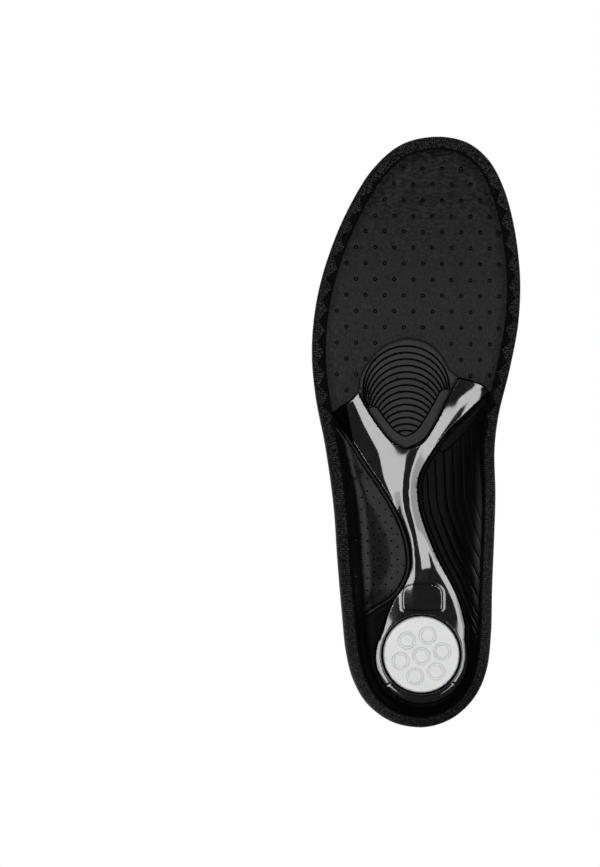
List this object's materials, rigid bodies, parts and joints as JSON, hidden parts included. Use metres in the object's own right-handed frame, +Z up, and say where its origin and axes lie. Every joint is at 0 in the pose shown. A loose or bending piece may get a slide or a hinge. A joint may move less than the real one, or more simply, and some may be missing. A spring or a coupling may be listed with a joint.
{
  "type": "cushioned insole",
  "caption": "Contoured shoe insole with a bound knit cover, foam base, forked heel-and-arch stiffening frame, gel heel disc and a flexible forefoot.",
  "frame": {"origin": "bottom centre of the whole insole's box, on the ground plane under it", "axes": "+Y from the back of the heel to the toes, +Z up through the insole to the foot, +X to the outer (lateral) side of a right foot"},
  "size_m": [0.0858, 0.2448, 0.0258],
  "materials": {
    "cover_knit": "matte spacer knit",
    "edge_knit": "matte rib knit",
    "thread": "matte",
    "foam": "matte foam",
    "gloss_shell": "gloss",
    "badge": "satin",
    "gel": "translucent satin",
    "pad_rubber": "satin",
    "panel_black": "satin",
    "sheet_grey": "satin brushed"
  },
  "bodies": {
    "rearfoot": {"top_cover_rear": "cover_knit", "foam_base_rear": "foam", "edge_tape_rear": "edge_knit", "seam_thread_top_rear": "thread", "seam_thread_bottom_rear": "thread", "heel_cup_shell": "gloss_shell", "shank_frame": "gloss_shell", "heel_gel_pad": "gel", "badge_plate": "badge", "metatarsal_pad": "pad_rubber", "medial_arch_panel": "panel_black", "lateral_panel": "panel_black", "forefoot_sheet_rear": "sheet_grey"},
    "forefoot": {"top_cover_front": "cover_knit", "foam_base_front": "foam", "edge_tape_front": "edge_knit", "seam_thread_top_front": "thread", "seam_thread_bottom_front": "thread", "forefoot_sheet_front": "sheet_grey"}
  },
  "joints": [
    {"name": "forefoot_flex", "type": "hinge", "parent": "rearfoot", "child": "forefoot", "pos_m": [0.00416, 0.04457, 0.0068], "axis": [0.9806, -0.1959, 0], "range_deg": [0, 40], "stiffness_Nm_per_rad": 0.12}
  ]
}
